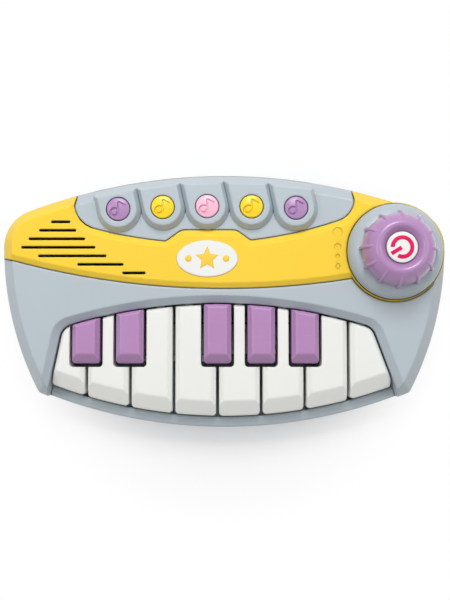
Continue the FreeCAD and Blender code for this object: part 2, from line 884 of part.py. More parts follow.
def make_lower_shell(tails):
    outside = frustum(body_edges, -base_draft, foot_height, 0, parting_height)
    outside = outside.makeFillet(base_round, edges_at(outside, foot_height))
    inside = frustum(body_edges, -(base_draft + wall), floor_top, -wall, parting_height + 1)
    tray = outside.cut(inside)
    rail = turned(rail_profile(), front_center.x, front_center.y)
    rail = rail.common(prism(recess_edges, -(band_run + rail_gap), floor_top, above))
    pieces = [tray, rail]
    cutters = []
    for x, y in screw_spots:
        pieces.append(post(x, y, foot_height + weld, parting_height, column_radius))
        cutters.append(post(x, y, 0, above, screw_bore))
        cutters.append(post(x, y, 0, screw_head_z, screw_head_radius + head_fit))
    half, front, back, roof = bay_size()
    pieces.append(box(-half - bay_wall, front - bay_wall, floor_top - weld,
                      half + door_tab + bay_wall, back + bay_wall, roof + bay_wall))
    cutters.append(box(-half, front, 0, half, back, roof))
    cutters.append(box(-half - door_ledge, front - door_ledge, 0,
                       half + door_tab, back + door_ledge, foot_height + door_thickness))
    cutters.append(post(half + door_tab / 2, bay_center_y, 0, roof - bay_wall, screw_radius + screw_fit))
    rib_y = tail_rear_y - felt_width
    pieces.append(box(min(tails) - tail_width, rib_y, floor_top - weld,
                      max(tails) + tail_width, tail_rear_y, felt_top - felt_thickness))
    for x in post_places(tails):
        stand = box(x - post_thickness / 2, rod_y - post_length / 2, floor_top - weld,
                    x + post_thickness / 2, rod_y + post_length / 2, rod_z + 2 * rod_radius)
        pieces.append(stand)
    rod_length = max(tails) - min(tails) + 4 * tail_width
    cutters.append(Part.makeCylinder(rod_radius + rod_fit, rod_length,
                                     V(min(tails) - 2 * tail_width, rod_y, rod_z), V(1, 0, 0)))
    for x, y in contact_posts(tails):
        pieces.append(post(x, y, floor_top - weld, contact_board_z, board_post_radius))
        cutters.append(post(x, y, floor_top, above, screw_radius + screw_fit))
    for x, y in main_posts():
        pieces.append(post(x, y, floor_top - weld, main_board_z, board_post_radius))
        cutters.append(post(x, y, floor_top, above, screw_radius + screw_fit))
    for x, y in foot_spots:
        cutters.append(post(x, y, 0, foot_height + foot_seat, foot_radius + foot_gap))
    return take(join(pieces), cutters)


def contact_board_box(tails):
    margin = tail_width
    return (min(tails) - margin, white_plunger_y - key_dome_radius - board_screw_strip,
            max(tails) + margin, purple_plunger_y + key_dome_radius + board_margin)


def contact_posts(tails):
    """Screw posts of the contact board, between the domes."""
    x0, y0, x1, y1 = contact_board_box(tails)
    places = post_places(tails)
    return [(x, y0 + board_screw_strip / 2) for x in places[1:-1]]


def main_posts():
    dx = main_board_length / 2 - board_screw_inset
    dy = main_board_width / 2 - board_screw_inset
    return [(main_board_x + sx * dx, main_board_y + sy * dy) for sx in (-1, 1) for sy in (-1, 1)]


def knob_arc(grow):
    """Radius, center radius and center height of the knob's dome, tangent to its skirt and its round crest."""
    shoulder = knob_bottom + knob_skirt
    rise = knob_top - crest_round - shoulder
    run = knob_radius - crest_radius
    radius = (run * run + rise * rise - crest_round * crest_round) / (2 * (run - crest_round))
    return radius + grow, knob_radius - radius, shoulder


def dome_step(grow, height):
    """An arc of the dome from its skirt up to a height, as a step of a profile."""
    radius, center, shoulder = knob_arc(grow)
    angle = math.asin((height - shoulder) / radius)
    middle = (center + radius * math.cos(angle / 2), shoulder + radius * math.sin(angle / 2))
    return middle, (center + radius * math.cos(angle), height)


def dish_edge(dish, crest_z):
    """Point where the straight side of the dish touches the round crest."""
    run = crest_radius - dish_radius
    rise = crest_z - dish
    turn = math.acos(crest_round / math.hypot(run, rise))
    angle = math.atan2(rise, run) + math.pi - turn
    return crest_radius + crest_round * math.cos(angle), crest_z + crest_round * math.sin(angle)


def make_knob():
    dish = knob_top - dish_depth
    radius, center, shoulder = knob_arc(0)
    crest_z = knob_top - crest_round
    outside = [
        (0, knob_bottom),
        (knob_radius, knob_bottom),
        (knob_radius, shoulder),
        dome_step(0, shoulder + radius * (crest_z - shoulder) / (radius - crest_round)),
        ((crest_radius, knob_top), dish_edge(dish, crest_z)),
        (dish_radius, dish),
        (0, dish),
    ]
    roof = dish - knob_wall
    hollow = [
        (hub_radius, knob_bottom),
        (knob_radius - knob_wall, knob_bottom),
        (knob_radius - knob_wall, shoulder),
        dome_step(-knob_wall, roof),
        (hub_radius, roof),
    ]
    body = turned(outside, 0, 0)
    rib_rise = rib_tip_radius - knob_radius
    rib_end = knob_top - rib_drop
    high = [dome_step(rib_swell * rib_rise, (shoulder + rib_end) / 2)[1], dome_step(0, rib_end)[1]]
    low = V(knob_radius - knob_wall / 2, -rib_width / 2, knob_bottom)
    tip = V(rib_tip_radius, -rib_width / 2, knob_bottom)
    bend = V(rib_tip_radius, -rib_width / 2, shoulder)
    crown = [V(r, -rib_width / 2, z) for r, z in high]
    inner = V(rib_inner_radius - knob_wall, -rib_width / 2, dish - knob_wall)
    section = Part.Wire([
        Part.LineSegment(low, tip).toShape(),
        Part.LineSegment(tip, bend).toShape(),
        Part.Arc(bend, crown[0], crown[1]).toShape(),
        Part.LineSegment(crown[1], inner).toShape(),
        Part.LineSegment(inner, low).toShape(),
    ])
    rib = Part.Face(section).extrude(V(0, rib_width, 0))
    ends = [edge for edge in rib.Edges if edge.BoundBox.YLength < 0.01 and edge.BoundBox.ZLength > rib_width
            and edge.BoundBox.XMax > rib_tip_radius - 0.01]
    rib = rib.makeFillet(rib_round, ends)
    ribs = []
    for index in range(rib_count):
        copy = rib.copy()
        copy.rotate(V(0, 0, 0), V(0, 0, 1), rib_turn + 360 / rib_count * index)
        ribs.append(copy)
    knob = join([body] + ribs).cut(turned(hollow, 0, 0))
    knob = knob.cut(post(0, 0, 0, knob_bottom + shaft_depth, shaft_radius + shaft_fit))
    knob.translate(V(knob_x, knob_y, 0))
    return knob


def make_knob_cap():
    low = knob_top - dish_depth
    edge = low + cap_height - cap_crown
    radius = dish_radius - cap_gap
    profile = [(0, low), (radius, low), (radius, edge), crown(radius, edge, cap_crown)]
    return turned(profile, knob_x, knob_y)


def make_knob_bezel():
    """A hollow ring with a quarter-round section that rises to the knob."""
    half = math.sqrt(0.5)
    width = bezel_radius - bezel_inner_radius
    inside = width - bezel_wall
    rise = bezel_rise - bezel_wall
    profile = [
        (bezel_radius - bezel_wall, bezel_bottom),
        (bezel_radius, bezel_bottom),
        ((bezel_inner_radius + width * half, bezel_bottom + bezel_rise * half), (bezel_inner_radius, bezel_top)),
        (bezel_inner_radius, bezel_top - bezel_wall),
        ((bezel_inner_radius + inside * half, bezel_bottom + rise * half),
         (bezel_radius - bezel_wall, bezel_bottom)),
    ]
    return turned(profile, knob_x, knob_y)


def make_rotary_switch():
    half = switch_size / 2
    low = roof_under - switch_height
    case = box(knob_x - half, knob_y - half, low, knob_x + half, knob_y + half, roof_under)
    case = case.makeFillet(switch_corner, upright_edges(case))
    pieces = [case, post(knob_x, knob_y, roof_under, panel_top, bushing_radius)]
    front = knob_y - half + switch_floor
    for step in (-1, 0, 1):
        x = knob_x + pin_pitch * step
        pieces.append(box(x - pin_width / 2, front, low - pin_length, x + pin_width / 2,
                          front + contact_thickness, low))
    bore = post(knob_x, knob_y, low + switch_floor, above, shaft_radius + shaft_fit)
    return join(pieces).cut(bore)


def make_switch_shaft():
    low = roof_under - switch_height + switch_floor
    return post(knob_x, knob_y, low, knob_bottom + shaft_depth, shaft_radius)


def make_speaker():
    """Basket, cone and magnet of the speaker, hung under the roof."""
    top = roof_under
    seat = top - speaker_flange
    low = seat - basket_height
    throat = magnet_radius + sheet_metal
    inner = speaker_opening - sheet_metal
    basket = [
        (inner, seat), (inner, top), (speaker_radius, top), (speaker_radius, seat),
        (speaker_opening, seat), (throat, low), (pole_radius + pole_gap, low),
        (pole_radius + pole_gap, low + sheet_metal), (magnet_radius, low + sheet_metal),
    ]
    rim = inner - sheet_metal
    edge = seat - surround_rise
    fold = rim - surround_width / 2
    neck = low + pole_height
    cone = [
        (0, neck), (neck_radius, neck), (rim - surround_width, edge), ((fold, seat), (rim, edge)),
        (rim, edge + paper), ((fold, seat + paper), (rim - surround_width - paper, edge + paper)),
        (dust_cap_radius, neck + paper), crown(dust_cap_radius, neck + paper, dust_cap_rise),
    ]
    bottom = low - magnet_height
    magnet = [
        (0, bottom), (magnet_radius - sheet_metal, bottom), (magnet_radius, bottom + sheet_metal),
        (magnet_radius, low), (pole_radius, low), (pole_radius, neck), (0, neck),
    ]
    return [turned(profile, speaker_x, speaker_y) for profile in (basket, cone, magnet)]


def screw(x, y, head_low, head_high, tip, head_radius):
    """A pan-head screw whose shank runs from its head to its tip."""
    head = post(x, y, min(head_low, head_high), max(head_low, head_high), head_radius)
    shank = post(x, y, min(head_high, tip), max(head_high, tip), screw_radius)
    return join([head, shank])


def make_board_screws(tails):
    group = []
    for x, y in contact_posts(tails):
        top = contact_board_z + board_thickness
        group.append(screw(x, y, top + small_head_height, top, top - small_screw_length, small_head_radius))
    for x, y in main_posts():
        top = main_board_z + board_thickness
        group.append(screw(x, y, top + small_head_height, top, top - small_screw_length, small_head_radius))
    for x, y in button_posts():
        low = button_board_z
        group.append(screw(x, y, low - small_head_height, low, low + small_screw_length, small_head_radius))
    return Part.makeCompound(group)


def make_contact_board(tails):
    x0, y0, x1, y1 = contact_board_box(tails)
    board = box(x0, y0, contact_board_z, x1, y1, dome_base)
    return take(board, [post(x, y, 0, above, screw_radius + screw_fit) for x, y in contact_posts(tails)])


def make_key_domes(white_tails, purple_tails):
    """One rubber sheet with a dome under each key's plunger."""
    x0, y0, x1, y1 = contact_board_box(white_tails + purple_tails)
    pieces = [box(x0 + dome_sheet, white_plunger_y - key_dome_radius - weld, dome_base,
                  x1 - dome_sheet, y1 - dome_sheet, dome_base + dome_sheet)]
    spots = [(x, white_plunger_y) for x in white_tails] + [(x, purple_plunger_y) for x in purple_tails]
    for x, y in spots:
        pieces.append(Part.makeCone(key_dome_radius, dome_tip_radius, key_dome_height,
                                    V(x, y, dome_base + dome_sheet)))
    return join(pieces)


def make_button_board():
    board = box(button_xs[0] - button_board_end, button_y - button_board_front, button_board_z,
                button_xs[-1] + button_board_end, button_y + button_board_back, button_board_top)
    return take(board, [post(x, y, 0, above, screw_radius + screw_fit) for x, y in button_posts()])


def make_button_domes():
    reach = button_dome_radius + dome_sheet
    front = min(y for x, y in button_spots)
    pieces = [box(button_xs[0] - reach, front - reach, button_board_top,
                  button_xs[-1] + reach, button_y + reach, button_board_top + dome_sheet)]
    for x, y in button_spots:
        pieces.append(Part.makeCone(button_dome_radius, dome_tip_radius, button_dome_height - dome_sheet,
                                    V(x, y, button_board_top + dome_sheet)))
    return take(join(pieces), [post(x, y, 0, above, board_post_radius + door_fit) for x, y in button_posts()])


def make_main_board():
    x0 = main_board_x - main_board_length / 2
    y0 = main_board_y - main_board_width / 2
    top = main_board_z + board_thickness
    pieces = [box(x0, y0, main_board_z, x0 + main_board_length, y0 + main_board_width, top)]
    middle = main_board_x + main_board_length / 5
    pieces.append(post(main_board_x - main_board_length / 6, main_board_y, top, top + blob_height, blob_radius))
    pieces.append(box(middle - chip_length / 2, main_board_y - chip_width / 2, top,
                      middle + chip_length / 2, main_board_y + chip_width / 2, top + chip_height))
    pieces.append(post(middle, main_board_y + chip_width / 2 + 2 * can_radius, top, top + can_height, can_radius))
    return take(join(pieces), [post(x, y, 0, above, screw_radius + screw_fit) for x, y in main_posts()])


def make_cells():
    group = []
    for index, (y, z) in enumerate(cell_places()):
        way = 1 if index % 2 == 0 else -1
        can = cell_length - nub_length
        body = Part.makeCylinder(cell_radius, can, V(-way * cell_length / 2, y, z), V(way, 0, 0))
        nub = Part.makeCylinder(nub_radius, nub_length, V(way * (can - cell_length / 2), y, z), V(way, 0, 0))
        group.append(join([body, nub]))
    return Part.makeCompound(group)


def make_battery_contacts():
    half, front, back, roof = bay_size()
    group = []
    for y, z in cell_places():
        for way in (-1, 1):
            plate = box(-half, y - plate_half, z - plate_half, -half + contact_thickness, y + plate_half,
                        z + plate_half)
            spring = Part.makeCone(spring_radius, spring_tip_radius, contact_room - contact_thickness,
                                   V(-half + contact_thickness, y, z), V(1, 0, 0))
            piece = join([plate, spring])
            if way > 0:
                piece = piece.mirror(V(0, y, z), V(1, 0, 0))
            group.append(piece)
    return Part.makeCompound(group)


def make_battery_door():
    half, front, back, roof = bay_size()
    reach = door_ledge - door_fit
    top = foot_height + door_thickness
    door = box(-half - reach, front - reach, foot_height, half + door_tab - door_fit, back + reach, top)
    door = door.makeFillet(door_corner, upright_edges(door))
    x = half + door_tab / 2
    head_top = foot_height + small_head_height
    cutters = [post(x, bay_center_y, 0, above, screw_bore),
               post(x, bay_center_y, 0, head_top, screw_head_radius + door_fit)]
    for index in range(grip_count):
        start = grip_pitch * (index + 1) - half
        cutters.append(box(start, bay_center_y - grip_length / 2, 0,
                           start + grip_width, bay_center_y + grip_length / 2, foot_height + grip_depth))
    return take(door, cutters)


def make_door_screw():
    half, front, back, roof = bay_size()
    head_top = foot_height + small_head_height
    return screw(half + door_tab / 2, bay_center_y, foot_height, head_top, head_top + door_screw_reach,
                 screw_head_radius)


def make_felt(tails):
    return box(min(tails) - tail_width, tail_rear_y - felt_width, felt_top - felt_thickness,
               max(tails) + tail_width, tail_rear_y, felt_top)


def make_rod(tails):
    places = post_places(tails)
    start = places[0] - post_thickness / 2
    end = places[-1] + post_thickness / 2
    return Part.makeCylinder(rod_radius, end - start, V(start, rod_y, rod_z), V(1, 0, 0))


def make_label():
    plate = oval(label_x, label_y, panel_top, label_width, label_height, label_thickness)
    return plate.makeFillet(label_round, edges_at(plate, panel_top + label_thickness))


button_low = roof_under - flange_gap - flange_height
button_board_top = button_low - button_dome_height
button_board_z = button_board_top - board_thickness

block = outer_body()
seat = seat_body(block)
save("upper_shell", make_upper_shell(seat))
save("control_panel", make_control_panel(seat))
save("button_fascia", make_button_fascia(seat))
for number, (x, y) in enumerate(button_spots, 1):
    save("button_%d" % number, make_button(x, y))

save("knob_bezel", make_knob_bezel())
save("volume_knob", make_knob())
save("knob_cap", make_knob_cap())
save("switch_shaft", make_switch_shaft())
save("rotary_switch", make_rotary_switch())
save("label_plate", make_label())
for name, piece in zip(("speaker_basket", "speaker_cone", "speaker_magnet"), make_speaker()):
    save(name, piece)

for index in range(white_count):
    save("white_key_%d" % (index + 1), make_white_key(index))
white_tails = [white_tail_x(index) for index in range(white_count)]
purple_tails = [gap_xs[gap] for gap in purple_gaps]
for number, x in enumerate(purple_tails, 1):
    save("purple_key_%d" % number, make_purple_key(x))
tails = white_tails + purple_tails
save("lower_shell", make_lower_shell(tails))
save("key_pivot_rod", make_rod(tails))
save("key_rest_felt", make_felt(tails))
save("key_contact_board", make_contact_board(tails))
save("key_dome_strip", make_key_domes(white_tails, purple_tails))
save("button_board", make_button_board())
save("button_dome_sheet", make_button_domes())
save("main_board", make_main_board())
save("board_screws", make_board_screws(tails))
save("battery_cells", make_cells())
save("battery_contacts", make_battery_contacts())
save("battery_door", make_battery_door())
save("battery_door_screw", make_door_screw())
case_screws = [screw(x, y, screw_head_z - screw_head_height, screw_head_z, screw_tip_z, screw_head_radius)
               for x, y in screw_spots]
save("case_screws", Part.makeCompound(case_screws))
feet = [post(x, y, 0, foot_height + foot_seat, foot_radius) for x, y in foot_spots]
save("rubber_feet", Part.makeCompound(feet))
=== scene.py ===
import bpy
import json
import math
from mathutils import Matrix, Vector


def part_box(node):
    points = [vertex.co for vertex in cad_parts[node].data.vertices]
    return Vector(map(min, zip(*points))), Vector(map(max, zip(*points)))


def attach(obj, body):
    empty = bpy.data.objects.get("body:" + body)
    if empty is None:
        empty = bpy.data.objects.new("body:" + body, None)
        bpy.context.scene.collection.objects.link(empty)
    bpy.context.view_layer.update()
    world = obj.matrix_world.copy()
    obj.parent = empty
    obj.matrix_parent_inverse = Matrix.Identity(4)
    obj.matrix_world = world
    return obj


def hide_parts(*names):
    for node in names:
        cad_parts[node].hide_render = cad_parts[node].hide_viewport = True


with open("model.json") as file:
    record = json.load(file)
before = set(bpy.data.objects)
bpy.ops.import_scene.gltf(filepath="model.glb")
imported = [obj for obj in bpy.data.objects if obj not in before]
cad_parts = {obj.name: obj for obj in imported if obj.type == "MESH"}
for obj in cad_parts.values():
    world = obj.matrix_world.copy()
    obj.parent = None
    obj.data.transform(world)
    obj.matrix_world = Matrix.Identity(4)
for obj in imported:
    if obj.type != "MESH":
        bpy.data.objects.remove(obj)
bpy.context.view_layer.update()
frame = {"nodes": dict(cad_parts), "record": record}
print("frame loaded:", len(frame["nodes"]), "nodes")


# shader maths on sockets
class Socket:
    def __init__(self, tree, socket):
        self.tree = tree
        self.socket = socket

    def blendWith(self, operation, other, swap=False):
        made = self.tree.nodes.new("ShaderNodeMath")
        made.operation = operation
        pair = (other, self) if swap else (self, other)
        for slot, value in zip(made.inputs, pair):
            plug(self.tree, slot, value)
        return Socket(self.tree, made.outputs[0])

    def __add__(self, other):
        return self.blendWith("ADD", other)

    def __radd__(self, other):
        return self.blendWith("ADD", other, True)

    def __sub__(self, other):
        return self.blendWith("SUBTRACT", other)

    def __rsub__(self, other):
        return self.blendWith("SUBTRACT", other, True)

    def __mul__(self, other):
        return self.blendWith("MULTIPLY", other)


def plug(tree, slot, value):
    if isinstance(value, Socket):
        tree.links.new(value.socket, slot)
    else:
        slot.default_value = value


class Finish:
    def __init__(self, name):
        self.material = bpy.data.materials.new(name)
        self.material.use_nodes = True
        self.tree = self.material.node_tree
        self.shader = self.tree.nodes["Principled BSDF"]

    def node(self, kind, settings=None, output=0, **inputs):
        made = self.tree.nodes.new("ShaderNode" + kind)
        for name, value in (settings or {}).items():
            if name == "stops":
                setStops(made.color_ramp, value)
            else:
                setattr(made, name, value)
        for name, value in inputs.items():
            plug(self.tree, made.inputs[name.replace("_", " ")], value)
        return Socket(self.tree, made.outputs[output])

    def mix(self, factor, low, high):
        made = self.tree.nodes.new("ShaderNodeMix")
        made.data_type = "RGBA"
        plug(self.tree, made.inputs[0], factor)
        plug(self.tree, made.inputs[6], low)
        plug(self.tree, made.inputs[7], high)
        return Socket(self.tree, made.outputs[2])

    def surface(self, **inputs):
        for name, value in inputs.items():
            plug(self.tree, self.shader.inputs[name.replace("_", " ")], value)
        return self.material


def setStops(ramp, stops):
    for index, (place, colour) in enumerate(stops):
        if index < len(ramp.elements):
            ramp.elements[index].position = place
        else:
            ramp.elements.new(place)
        ramp.elements[index].color = colour


def paint(red, green, blue):
    levels = [value / 255 for value in (red, green, blue)]
    linear = [v / 12.92 if v <= 0.04045 else ((v + 0.055) / 1.055) ** 2.4 for v in levels]
    return (*linear, 1.0)


def shade(colour, factor):
    return (*[min(1.0, value * factor) for value in colour[:3]], 1.0)


# dark, deeper tone used for the painted shade in seams
def shadowTone(colour, factor):
    return (*[value * value * factor for value in colour[:3]], 1.0)


# moulded plastic, the finish of most pieces
plasticLook = {
    "roughness": 0.36, "specular": 0.45, "coat": 0.0, "coatRoughness": 0.2,
    # slow drift of the moulded colour
    "cloudScale": 22.0, "cloudDetail": 3.0, "drift": 0.035, "cloudRough": 0.08,
    # spark-eroded mould grain
    "grainScale": 2400.0, "grainDetail": 2.0, "grain": 0.12, "grainDepth": 0.00006, "grainRough": 0.10,
    # light handling marks
    "scuffScale": 90.0, "scuffDetail": 6.0, "scuffFine": 0.7, "scuffStretch": (1.0, 6.0, 3.0),
    "scuffTurn": (0.0, 0.0, 0.5), "scuffRange": (0.58, 0.74), "scuff": 0.05, "scuffShade": 1.12,
    "scuffRough": 0.07,
    # softened edges, paler along them: a little wear, mostly painted highlight on the creases
    "edge": 0.0009, "edgeSamples": 6,
    "wearRadius": 0.0016, "edgeWearSheenSamples": 4, "wear": 0.5, "wearShade": 1.1,
    # painted shade: darker in seams and deep corners, where shadow falls
    "seamDepth": 0.0016, "seamSamples": 8, "seamRange": (0.20, 0.58), "seam": 0.9, "seamShade": 0.08,
}
black = (0, 0, 0, 1)
white = (1, 1, 1, 1)


def mouldedPlastic(name, colour, **changes):
    look = {**plasticLook, **changes}
    made = Finish(name)
    place = made.node("TexCoord", output="Object")
    cloud = made.node("TexNoise", Vector=place, Scale=look["cloudScale"], Detail=look["cloudDetail"])
    grains = made.node("TexNoise", Vector=place, Scale=look["grainScale"], Detail=look["grainDetail"])
    drawn = made.node("Mapping", Vector=place, Scale=look["scuffStretch"], Rotation=look["scuffTurn"])
    scuff = made.node("TexNoise", Vector=drawn, Scale=look["scuffScale"], Detail=look["scuffDetail"],
                      Roughness=look["scuffFine"])
    scuffs = made.node("ValToRGB", {"stops": list(zip(look["scuffRange"], (black, white)))}, Fac=scuff)
    soft = made.node("Bevel", {"samples": look["edgeSamples"]}, Radius=look["edge"])
    wide = made.node("Bevel", {"samples": look["edgeWearSheenSamples"]}, Radius=look["wearRadius"])
    flat = made.node("NewGeometry", output="True Normal")
    along = made.node("VectorMath", {"operation": "DOT_PRODUCT"}, "Value")
    for slot, value in zip(along.socket.node.inputs, (wide, flat)):
        plug(made.tree, slot, value)
    # paler convex edges: a little wear, mostly painted highlight along the creases
    edgeWearSheenMask = 1 - along
    # painted shade in seams and deep corners, from ambient occlusion
    exposed = made.node("AmbientOcclusion", {"samples": look["seamSamples"]}, "AO",
                        Distance=look["seamDepth"])
    seams = made.node("ValToRGB", {"stops": list(zip(look["seamRange"], (white, black)))}, Fac=exposed)
    body = made.mix(cloud, shade(colour, 1 - look["drift"]), shade(colour, 1 + look["drift"]))
    body = made.mix(scuffs * look["scuff"], body, shade(colour, look["scuffShade"]))
    body = made.mix(edgeWearSheenMask * look["wear"], body, shade(colour, look["wearShade"]))
    body = made.mix(seams * look["seam"], body, shadowTone(colour, look["seamShade"]))
    rough = look["roughness"] + (cloud - 0.5) * look["cloudRough"] + (grains - 0.5) * look["grainRough"]
    rough = rough + scuffs * look["scuffRough"]
    bumped = made.node("Bump", Height=grains, Strength=look["grain"], Distance=look["grainDepth"],
                       Normal=soft)
    made.surface(Base_Color=body, Roughness=rough, Normal=bumped)
    made.surface(Specular_IOR_Level=look["specular"], Coat_Weight=look["coat"])
    return made.surface(Coat_Roughness=look["coatRoughness"])


# zinc-plated sheet and screws
steelLook = {
    "stretch": (1.0, 30.0, 30.0), "lineScale": 160.0, "lineDetail": 4.0, "spotScale": 60.0, "spotDetail": 3.0,
    "dark": (0.42, 0.42, 0.43, 1), "light": (0.62, 0.61, 0.60, 1),
    "bump": 0.2, "depth": 0.00004, "roughness": 0.24, "lineRough": 0.2,
}


def sheetSteel(name, look=steelLook):
    made = Finish(name)
    place = made.node("TexCoord", output="Object")
    brushed = made.node("Mapping", Vector=place, Scale=look["stretch"])
    lines = made.node("TexNoise", Vector=brushed, Scale=look["lineScale"], Detail=look["lineDetail"])
    spots = made.node("TexNoise", Vector=place, Scale=look["spotScale"], Detail=look["spotDetail"])
    body = made.mix(spots, look["dark"], look["light"])
    bumped = made.node("Bump", Height=lines, Strength=look["bump"], Distance=look["depth"])
    rough = look["roughness"] + lines * look["lineRough"]
    return made.surface(Base_Color=body, Metallic=1.0, Roughness=rough, Normal=bumped)


# rubber, ferrite and blackened steel
rubberLook = {
    "poreScale": 1500.0, "dustScale": 70.0, "detail": 4.0, "dark": 0.8, "light": 1.35,
    "bump": 0.3, "depth": 0.0001, "roughness": 0.72, "dustRough": 0.16,
}


def softRubber(name, colour, look=rubberLook):
    made = Finish(name)
    place = made.node("TexCoord", output="Object")
    pores = made.node("TexNoise", Vector=place, Scale=look["poreScale"], Detail=look["detail"])
    dust = made.node("TexNoise", Vector=place, Scale=look["dustScale"], Detail=look["detail"])
    body = made.mix(dust, shade(colour, look["dark"]), shade(colour, look["light"]))
    bumped = made.node("Bump", Height=pores, Strength=look["bump"], Distance=look["depth"])
    rough = look["roughness"] + dust * look["dustRough"]
    return made.surface(Base_Color=body, Roughness=rough, Normal=bumped)


# felt strip and speaker paper
feltLook = {
    "fibreScale": 900.0, "detail": 8.0, "distortion": 1.5, "dark": 0.6, "light": 1.5,
    "bump": 0.7, "depth": 0.0004, "roughness": 0.95,
}


def pressedFelt(name, colour, look=feltLook):
    made = Finish(name)
    place = made.node("TexCoord", output="Object")
    fibres = made.node("TexNoise", Vector=place, Scale=look["fibreScale"], Detail=look["detail"],
                       Distortion=look["distortion"])
    body = made.mix(fibres, shade(colour, look["dark"]), shade(colour, look["light"]))
    bumped = made.node("Bump", Height=fibres, Strength=look["bump"], Distance=look["depth"])
    return made.surface(Base_Color=body, Roughness=look["roughness"], Normal=bumped)


# circuit board with traces
laminateLook = {
    "weaveScale": 420.0, "traceRange": (0.04, 0.09), "traceShare": 0.6,
    "dark": (0.02, 0.13, 0.05, 1), "light": (0.05, 0.26, 0.10, 1),
    "bump": 0.2, "depth": 0.00005, "roughness": 0.32, "weaveRough": 0.3,
}


def boardLaminate(name, look=laminateLook):
    made = Finish(name)
    place = made.node("TexCoord", output="Object")
    weave = made.node("TexVoronoi", {"feature": "DISTANCE_TO_EDGE"}, Vector=place, Scale=look["weaveScale"])
    traces = made.node("ValToRGB", {"stops": list(zip(look["traceRange"], (white, black)))}, Fac=weave)
    body = made.mix(traces * look["traceShare"], look["dark"], look["light"])
    bumped = made.node("Bump", Height=traces, Strength=look["bump"], Distance=look["depth"])
    rough = look["roughness"] + weave * look["weaveRough"]
    return made.surface(Base_Color=body, Roughness=rough, Normal=bumped)


colours = {
    "grey": paint(181, 192, 199),
    "yellow": paint(255, 212, 72),
    "white": paint(238, 239, 234),
    "purple": paint(181, 136, 185),
    "knobPurple": paint(176, 132, 183),
    "buttonPurple": paint(179, 137, 187),
    "buttonYellow": paint(255, 217, 28),
    "pink": paint(254, 189, 214),
    "magenta": paint(229, 22, 96),
    "labelYellow": paint(250, 204, 62),
}
# the seam values in these settings set the painted shade in seams, gaps and at the knob's foot
buttonChanges = {"roughness": 0.28, "grain": 0.08, "seam": 0.25}
# the high edge values below paint highlights along the creases of keys, knob, chamfers and panel lip
finishes = {
    "greyPlastic": mouldedPlastic("greyPlastic", colours["grey"], edge=0.0018,
                                  wearRadius=0.0012, wear=9.0, wearShade=1.2, seam=0.6),
    "yellowPlastic": mouldedPlastic("yellowPlastic", colours["yellow"], specular=0.04, edge=0.0018,
                                    wear=6.0, wearShade=1.2, seamDepth=0.004, seamShade=0.2,
                                    seamRange=(0.2, 0.8)),
    "whitePlastic": mouldedPlastic("whitePlastic", colours["white"], roughness=0.40, specular=0.3,
                                   grain=0.08, edge=0.0013),
    "purplePlastic": mouldedPlastic("purplePlastic", colours["purple"], roughness=0.26, grain=0.06,
                                    edge=0.0013, wearRadius=0.0011, wear=12.0, wearShade=1.45,
                                    specular=0.35, coat=0.2, coatRoughness=0.15),
    "knobPlastic": mouldedPlastic("knobPlastic", colours["knobPurple"], roughness=0.26, grain=0.06,
                                  wear=4.0, wearShade=1.2, specular=0.3, coat=0.9, coatRoughness=0.24,
                                  seamDepth=0.007, seam=0.6),
    "buttonPurple": mouldedPlastic("buttonPurple", colours["buttonPurple"], **buttonChanges),
    "buttonYellow": mouldedPlastic("buttonYellow", colours["buttonYellow"], **buttonChanges),
    "buttonPink": mouldedPlastic("buttonPink", colours["pink"], **buttonChanges),
    "signMagenta": mouldedPlastic("signMagenta", colours["magenta"], roughness=0.40, specular=0.15,
                                  grain=0.05),
    "labelYellow": mouldedPlastic("labelYellow", colours["labelYellow"], roughness=0.45, grain=0.05),
    "blackPlastic": mouldedPlastic("blackPlastic", (0.02, 0.02, 0.022, 1), roughness=0.5, grain=0.2),
    "conePaper": pressedFelt("conePaper", (0.03, 0.03, 0.03, 1)),
    "ferrite": softRubber("ferrite", (0.06, 0.06, 0.065, 1)),
    "steel": sheetSteel("zincSteel"),
    "darkSteel": softRubber("blackenedSteel", (0.02, 0.02, 0.022, 1)),
    "laminate": boardLaminate("greenLaminate"),
    "silicone": softRubber("silicone", (0.5, 0.5, 0.5, 1)),
    "footRubber": softRubber("footRubber", (0.06, 0.06, 0.06, 1)),
    "felt": pressedFelt("greyFelt", (0.12, 0.12, 0.13, 1)),
    "cellWrap": mouldedPlastic("cellWrap", (0.05, 0.05, 0.06, 1), roughness=0.3, grain=0.02),
}
slotFinish = {
    "grey_plastic": "greyPlastic", "yellow_plastic": "yellowPlastic", "white_plastic": "whitePlastic",
    "purple_plastic": "purplePlastic", "pink_plastic": "buttonPink", "steel": "steel", "magnet": "ferrite",
    "cone_paper": "conePaper", "black_plastic": "blackPlastic", "circuit_board": "laminate",
    "silicone": "silicone", "foot_rubber": "footRubber", "felt": "felt", "cell_wrap": "cellWrap",
}
nodeFinish = {
    "volume_knob": "knobPlastic", "button_1": "buttonPurple", "button_5": "buttonPurple",
    "button_2": "buttonYellow", "button_4": "buttonYellow", "speaker_basket": "darkSteel",
}
for row in frame["record"]["subparts"]:
    node = frame["nodes"][row["node"]]
    chosen = nodeFinish.get(row["node"], slotFinish[row["material_slot"]])
    node.data.materials.clear()
    node.data.materials.append(finishes[chosen])
print("finishes on:", len(finishes))


# modelling helpers
smoothAngle = 35.0
weldReach = 1e-6


def pickNone():
    bpy.ops.object.select_all(action="DESELECT")


def settle(piece, name, body, finish):
    pickNone()
    piece.select_set(True)
    bpy.context.view_layer.objects.active = piece
    bpy.ops.object.transform_apply(location=True, rotation=True, scale=True)
    bpy.ops.object.shade_smooth_by_angle(angle=math.radians(smoothAngle))
    piece.name = name
    piece.data.materials.clear()
    piece.data.materials.append(finishes[finish])
    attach(piece, body)
    return piece


